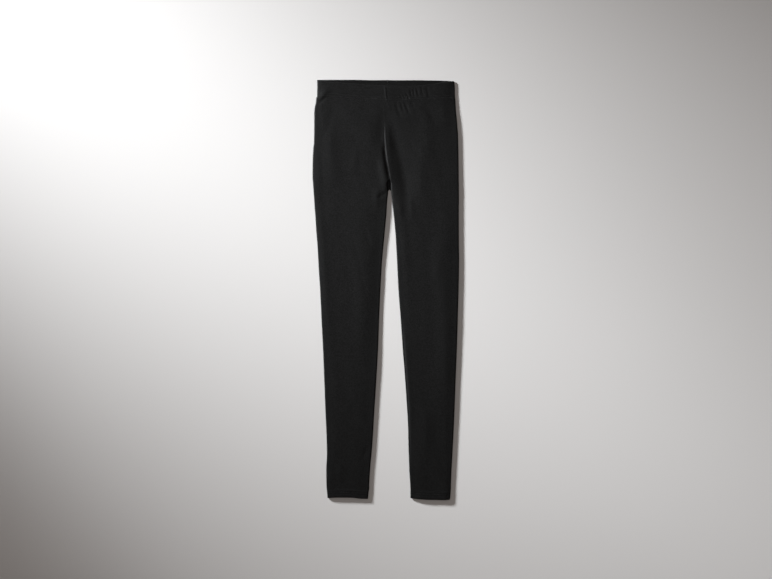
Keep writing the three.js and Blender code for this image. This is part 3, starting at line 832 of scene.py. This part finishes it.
def jersey(name, colour, look, roughness):
    """Cotton and elastane single jersey, dyed black: matt, with a faint bloom of fibre at grazing angles.

    The knit is drawn at its real pitch, so it only shows close to. From afar its uneven stitches show as a
    fine grain, which is drawn as coarse as three stitches to show at all. A slow, slight change of tone
    stands for dye and nap that never lie quite even.
    """
    material, tree, shader = new_material(name)
    where = add_node(tree, "ShaderNodeTexCoord").outputs["Object"]
    patches = {"Vector": where, "Scale": 1000 / DYE_PATCH, "Detail": 3.0}
    slow = add_node(tree, "ShaderNodeTexNoise", inputs=patches).outputs["Fac"]
    specks = {"Vector": where, "Scale": 1000 / GRAIN, "Detail": 2.0, "Roughness": 0.8}
    grain = add_node(tree, "ShaderNodeTexNoise", inputs=specks).outputs["Fac"]
    ramp = add_node(tree, "ShaderNodeValToRGB", inputs={"Fac": slow})
    low, high = ramp.color_ramp.elements
    low.position, high.position = 0.3, 0.7
    low.color = [0.9 * c for c in colour] + [1]
    high.color = [1.1 * c for c in colour] + [1]
    tree.links.new(ramp.outputs["Color"], shader.inputs["Base Color"])
    shine = {"Value": grain, "From Min": 0.3, "From Max": 0.7, "To Min": 0.1, "To Max": 0.28}
    gloss = add_node(tree, "ShaderNodeMapRange", inputs=shine).outputs["Result"]
    tree.links.new(gloss, shader.inputs["Specular IOR Level"])
    bumps = {"Strength": 1.0, "Distance": 0.00025, "Height": grain}
    uneven = add_node(tree, "ShaderNodeBump", inputs=bumps)
    knit = knit_height(tree, look.wale / 1000, look.course / 1000)
    loops = {"Strength": 0.35, "Distance": 0.00012, "Height": knit, "Normal": uneven.outputs["Normal"]}
    bump = add_node(tree, "ShaderNodeBump", inputs=loops)
    tree.links.new(bump.outputs["Normal"], shader.inputs["Normal"])
    shader.inputs["Roughness"].default_value = roughness
    shader.inputs["Sheen Weight"].default_value = 0.01
    shader.inputs["Sheen Roughness"].default_value = 0.5
    return material


def polyester_thread(name, colour):
    """Textured polyester sewing thread: a little glossier and paler than the cloth, to catch the light."""
    material, tree, shader = new_material(name)
    where = add_node(tree, "ShaderNodeTexCoord").outputs["Object"]
    twist = {"Vector": where, "Scale": PLY_SCALE}
    ply = add_node(tree, "ShaderNodeTexWave", {"bands_direction": "DIAGONAL"}, twist)
    plies = {"Strength": 0.3, "Distance": 0.00005, "Height": ply.outputs["Fac"]}
    bump = add_node(tree, "ShaderNodeBump", inputs=plies)
    tree.links.new(bump.outputs["Normal"], shader.inputs["Normal"])
    shader.inputs["Base Color"].default_value = list(colour) + [1]
    shader.inputs["Roughness"].default_value = 0.5
    shader.inputs["Specular IOR Level"].default_value = 0.25
    return material


def stitch_row(points, up, length, gap, radius):
    """Points and faces of a row of stitches along a line: each a flattened bead, sunk at its ends."""
    rings, sides = 5, 6
    flatness, sunk = 0.7, 0.6  # height of a bead as a share of its width, and its sink as one of its radius
    thinnest = 0.04  # square of the least share of the radius, at a stitch's ends
    ahead_by = 0.2
    up_axis = np.array((0, 0, 1.0))
    run = np.concatenate([[0], np.cumsum(np.linalg.norm(np.diff(points, axis=0), axis=1))])
    starts = np.arange(0.5 * gap, run[-1] - length, length + gap)
    t = np.linspace(0, 1, rings)
    at = starts[:, None] + length * t[None, :]
    centre = np.stack([np.interp(at, run, points[:, k]) for k in range(3)], -1)
    ahead = np.stack([np.interp(at + ahead_by, run, points[:, k]) for k in range(3)], -1) - centre
    ahead /= np.maximum(np.linalg.norm(ahead, axis=-1, keepdims=True), 1e-9)
    beside = np.cross(ahead, up_axis)
    size = radius * np.sqrt(np.clip(1 - (2 * t - 1) ** 4, thinnest, 1))
    angle = 2 * math.pi * np.arange(sides) / sides
    ring = (
        beside[:, :, None, :] * (size[None, :, None, None] * np.cos(angle)[None, None, :, None])
        + up_axis * (flatness * size[None, :, None, None] * np.sin(angle)[None, None, :, None])
    )
    sink = up_axis * (-up * sunk * radius * (2 * t - 1) ** 4)[None, :, None, None]
    verts = centre[:, :, None, :] + ring + sink
    index = np.arange(verts.size // 3).reshape(verts.shape[:-1])
    a, b = index[:, :-1], index[:, 1:]
    quads = np.stack([a, np.roll(a, -1, 2), np.roll(b, -1, 2), b], -1).reshape(-1, 4)
    ends = np.concatenate([index[:, 0, ::-1], index[:, -1, :]]).reshape(-1, sides)
    return verts.reshape(-1, 3), quads.tolist() + ends.tolist()


def thread_piece(name, rows, material):
    """One mesh from rows of stitches."""
    points, faces, count = [], [], 0
    for verts, quads in rows:
        points.append(verts)
        faces += [[count + i for i in quad] for quad in quads]
        count += len(verts)
    piece = smooth_mesh(name, np.concatenate(points), faces, material)
    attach(piece, BODY)


def needle_line(outer, columns, heights, above):
    """Line on a skin at one height above the edge at its foot, over the given columns.

    heights gives the rows' heights above that edge. Without it they are measured along each column.
    """
    line = []
    for j in columns:
        column = outer[:, j]
        height = column[-1, 1] - column[:, 1] if heights is None else heights
        line.append([np.interp(above, height[::-1], column[::-1, k]) for k in range(3)])
    return np.array(line)


def twin_rows(columns, outer, heights, rows, size):
    """Rows of stitches at heights above an edge, on the front and on the back."""
    stitched = []
    for layer, up in ((0, 1), (1, -1)):
        picked = np.flatnonzero(columns[0] == layer)
        for above in rows:
            line = needle_line(outer, picked, heights, above)
            line[:, 2] += up * STITCH_LIFT
            keep = (line[:, 2] > MIDDLE_HEIGHT) if up > 0 else (line[:, 2] < MIDDLE_HEIGHT)
            stitched.append(stitch_row(line[keep], up, *size))
    return stitched


class LeggingsCloth(bpy.types.PropertyGroup):
    """Sizes and colours of the cloth."""

    wall: bpy.props.FloatProperty(
        name="Jersey", description="Thickness of the leg cloth, in millimetres", default=1.2
    )
    casing: bpy.props.FloatProperty(
        name="Casing", description="Thickness of cloth, elastic and cloth, in millimetres", default=2.0
    )
    folds: bpy.props.FloatProperty(
        name="Folds", description="Depth of the folds, as a share", default=1.0, min=0
    )
    wale: bpy.props.FloatProperty(name="Wale pitch", description="Width of a knit stitch", default=0.7)
    course: bpy.props.FloatProperty(name="Course pitch", description="Length of a knit stitch", default=0.55)
    colour: bpy.props.FloatVectorProperty(
        name="Colour", description="Dyed colour of the jersey", subtype="COLOR", default=linear("#0d0d0d")
    )
    thread: bpy.props.FloatVectorProperty(
        name="Thread", description="Colour of the sewing thread", subtype="COLOR", default=linear("#1c1c1c")
    )


class LeggingsStitches(bpy.types.PropertyGroup):
    """Sizes of the stitching."""

    length: bpy.props.FloatProperty(name="Stitch", description="Length of one stitch", default=2.6)
    gap: bpy.props.FloatProperty(name="Gap", description="Space from stitch to stitch", default=0.5)
    radius: bpy.props.FloatProperty(
        name="Thread radius", description="Half the width of the thread", default=0.24
    )


class LeggingsStage(bpy.types.PropertyGroup):
    """Floor, light and camera."""

    floor: bpy.props.FloatVectorProperty(
        name="Floor", description="Colour of the floor", subtype="COLOR", default=linear("#e9e7e5")
    )
    camera_height: bpy.props.FloatProperty(
        name="Camera height", description="Height of the camera above the floor", default=3.0, unit="LENGTH"
    )
    frame_width: bpy.props.FloatProperty(
        name="Frame width", description="Width of floor in the picture", default=1.8142, unit="LENGTH"
    )


def cloth_settings():
    return bpy.context.scene.leggings_cloth


# Rows of a leg, as lengths down, and of the waistband, as shares of its depth: finer where the form is.
ROW_PLACES = steps(
    PANEL_TOP,
    (46.1, 0.1),
    (112, 1.6),
    (225, 2.4),
    (FRONT_SPLIT, 1.5),
    (CROTCH, 1.3),
    (290, 1.9),
    (955, 4.2),
    (LENGTH, 1.3),
)
BAND_PLACES = steps(0.0, (0.998, 1 / 54), (1.0, 0.002))


def leg_skins(leg):
    cloth = cloth_settings()
    shares = front_shares(LEG_SPACING[leg.side])
    columns = columns_of(shares, ROLL_STEPS, UNDER_STEPS, LEG_BACK_STEPS)
    return columns, skins(leg_section(leg, ROW_PLACES, cloth.wall, cloth.folds), columns)


def band_skins(leg):
    cloth = cloth_settings()
    shares = front_shares(BAND_SPACING[leg.side])
    columns = columns_of(shares, ROLL_STEPS, UNDER_STEPS, BAND_BACK_STEPS)
    return columns, skins(band_section(leg, BAND_PLACES, cloth.casing, cloth.folds), columns)


class LEGGINGS_OT_leg_cloth(bpy.types.Operator):
    """Builds the cloth of both legs, with their turned-up hems"""

    bl_idname = "leggings.leg_cloth"
    bl_label = "Leg cloth"

    def execute(self, context):
        cloth = cloth_settings()
        material = jersey("black_cotton_jersey", cloth.colour, cloth, JERSEY_ROUGHNESS)
        tube_from = int(np.searchsorted(ROW_PLACES, CROTCH - 1e-6))
        for leg in (RIGHT, LEFT):
            _, (outer, inner) = leg_skins(leg)
            replaced = (f"{leg.side}_leg_panel", f"{leg.side}_hem")
            name = f"{leg.side}_leg_cloth"
            piece = cloth_wall(name, leg, outer, inner, tube_from, -1, material, replaced)
        return {"FINISHED"}


class LEGGINGS_OT_waist_casing(bpy.types.Operator):
    """Builds both halves of the elastic waistband"""

    bl_idname = "leggings.waist_casing"
    bl_label = "Waistband"

    def execute(self, context):
        cloth = cloth_settings()
        material = jersey("black_jersey_over_elastic", cloth.colour, cloth, JERSEY_ROUGHNESS)
        for leg in (RIGHT, LEFT):
            _, (outer, inner) = band_skins(leg)
            name, replaced = f"{leg.side}_waist_casing", (f"{leg.side}_waistband",)
            last = len(BAND_PLACES)
            piece = cloth_wall(name, leg, outer, inner, last, 0, material, replaced)
        return {"FINISHED"}


class LEGGINGS_OT_twin_rows(bpy.types.Operator):
    """Sews the twin needle rows that hold the casing and the hems, front and back"""

    bl_idname = "leggings.twin_rows"
    bl_label = "Twin needle rows"

    def execute(self, context):
        stitches = context.scene.leggings_stitches
        thread = polyester_thread("black_polyester_thread", cloth_settings().thread)
        size = (stitches.length, stitches.gap, stitches.radius)
        casing, hems = [], []
        for leg in (RIGHT, LEFT):
            columns, (outer, _) = band_skins(leg)
            casing += twin_rows(columns, outer, None, CASING_ROWS, size)
            columns, (outer, _) = leg_skins(leg)
            hems += twin_rows(columns, outer, LENGTH - ROW_PLACES, HEM_ROWS, size)
        for name, rows, slot in (("casing_stitches", casing, "casing"), ("hem_stitches", hems, "hem")):
            thread_piece(name, rows, thread)
        return {"FINISHED"}


class LEGGINGS_OT_stage(bpy.types.Operator):
    """Makes the floor, the lights and the camera"""

    bl_idname = "leggings.stage"
    bl_label = "Floor, light and camera"

    def execute(self, context):
        stage = context.scene.leggings_stage
        make_floor(stage)
        make_lights()
        make_camera(stage)
        return {"FINISHED"}


def make_floor(stage):
    """Pale matt backdrop board, with the faint tone of its coating."""
    material, tree, shader = new_material("pale_backdrop_board")
    where = add_node(tree, "ShaderNodeTexCoord").outputs["Object"]
    clouds = {"Vector": where, "Scale": 1000 / BOARD_PATCH, "Detail": 2.0}
    tone = add_node(tree, "ShaderNodeTexNoise", inputs=clouds).outputs["Fac"]
    ramp = add_node(tree, "ShaderNodeValToRGB", inputs={"Fac": tone})
    low, high = ramp.color_ramp.elements
    low.color = [0.98 * c for c in stage.floor] + [1]
    high.color = [min(1.02 * c, 1) for c in stage.floor] + [1]
    tree.links.new(ramp.outputs["Color"], shader.inputs["Base Color"])
    shader.inputs["Roughness"].default_value = 0.9
    shader.inputs["Specular IOR Level"].default_value = 0.1
    mesh = bpy.data.meshes.new("floor")
    half, drop = 5.0, 0.0002  # the drop keeps the board just clear of the cloth
    corners = [(-half, -half, 0), (half, -half, 0), (half, half, 0), (-half, half, 0)]
    mesh.from_pydata(corners, [], [(0, 1, 2, 3)])
    mesh.materials.append(material)
    floor = bpy.data.objects.new("floor", mesh)
    floor.location.z = -drop
    bpy.context.scene.collection.objects.link(floor)


def area_light(name, place, target, power, size, spread, colour):
    light = bpy.data.lights.new(name, "AREA")
    light.color = linear(colour)
    light.shape = "DISK"
    light.size = size
    light.energy = power
    light.spread = spread
    holder = bpy.data.objects.new(name, light)
    holder.location = place
    holder.rotation_euler = (Vector(target) - Vector(place)).to_track_quat("-Z", "Y").to_euler()
    bpy.context.scene.collection.objects.link(holder)


def make_lights():
    """A low gridded soft box at the upper left, which draws the folds, a fill from above and the room.

    Their numbers follow the fall of light over the floor of the photograph.
    """
    azimuth, elevation, distance = math.radians(144.4), math.radians(14.5), 4.04
    key_target = (0.74, -0.42, 0)
    key_spread = math.radians(33.7)
    fill, fill_target = (-0.4, 0.36, 3.0), (-0.4, 0.36, 0)
    cool_white, warm_white = "#f9fcff", "#ffece0"
    key = (
        distance * math.cos(elevation) * math.cos(azimuth),
        distance * math.cos(elevation) * math.sin(azimuth),
        distance * math.sin(elevation),
    )
    area_light("key", key, key_target, power=19.0, size=0.5, spread=key_spread, colour=cool_white)
    area_light("ceiling_bounce", fill, fill_target, power=8.0, size=1.2, spread=math.pi, colour=cool_white)
    world = bpy.data.worlds.new("studio")
    world.use_nodes = True
    background = world.node_tree.nodes["Background"]
    background.inputs["Color"].default_value = linear(warm_white) + [1]
    background.inputs["Strength"].default_value = 0.115
    bpy.context.scene.world = world


def make_camera(stage):
    camera = bpy.data.cameras.new("camera")
    camera.lens = camera.sensor_width * stage.camera_height / stage.frame_width
    camera.clip_end = 50
    holder = bpy.data.objects.new("camera", camera)
    across, up = 0.0005, 0.0019  # the middle of the picture, off the middle of the leggings
    holder.location = (across, up, stage.camera_height)
    bpy.context.scene.collection.objects.link(holder)
    bpy.context.scene.camera = holder
    bpy.context.scene.view_settings.view_transform = "Standard"


PIECES = (LEGGINGS_OT_leg_cloth, LEGGINGS_OT_waist_casing, LEGGINGS_OT_twin_rows, LEGGINGS_OT_stage)


class LEGGINGS_PT_pieces(bpy.types.Panel):
    """Lists the sizes, the colours and the pieces"""

    bl_label = "Leggings"
    bl_space_type = "VIEW_3D"
    bl_region_type = "UI"
    bl_category = "Leggings"

    def draw(self, context):
        scene = context.scene
        for group in (scene.leggings_cloth, scene.leggings_stitches, scene.leggings_stage):
            box = self.layout.box()
            for name in type(group).__annotations__:
                box.prop(group, name)
        for operator in PIECES:
            self.layout.operator(operator.bl_idname)


GROUPS = (
    ("leggings_cloth", LeggingsCloth),
    ("leggings_stitches", LeggingsStitches),
    ("leggings_stage", LeggingsStage),
)


def register():
    for name, group in GROUPS:
        bpy.utils.register_class(group)
        setattr(bpy.types.Scene, name, bpy.props.PointerProperty(type=group))
    for kind in (*PIECES, LEGGINGS_PT_pieces):
        bpy.utils.register_class(kind)


def unregister():
    for kind in (LEGGINGS_PT_pieces, *reversed(PIECES)):
        bpy.utils.unregister_class(kind)
    for name, group in reversed(GROUPS):
        delattr(bpy.types.Scene, name)
        bpy.utils.unregister_class(group)


def main():
    register()
    for operator in PIECES:
        group, name = operator.bl_idname.split(".")
        getattr(getattr(bpy.ops, group), name)()


if __name__ == "__main__":
    main()
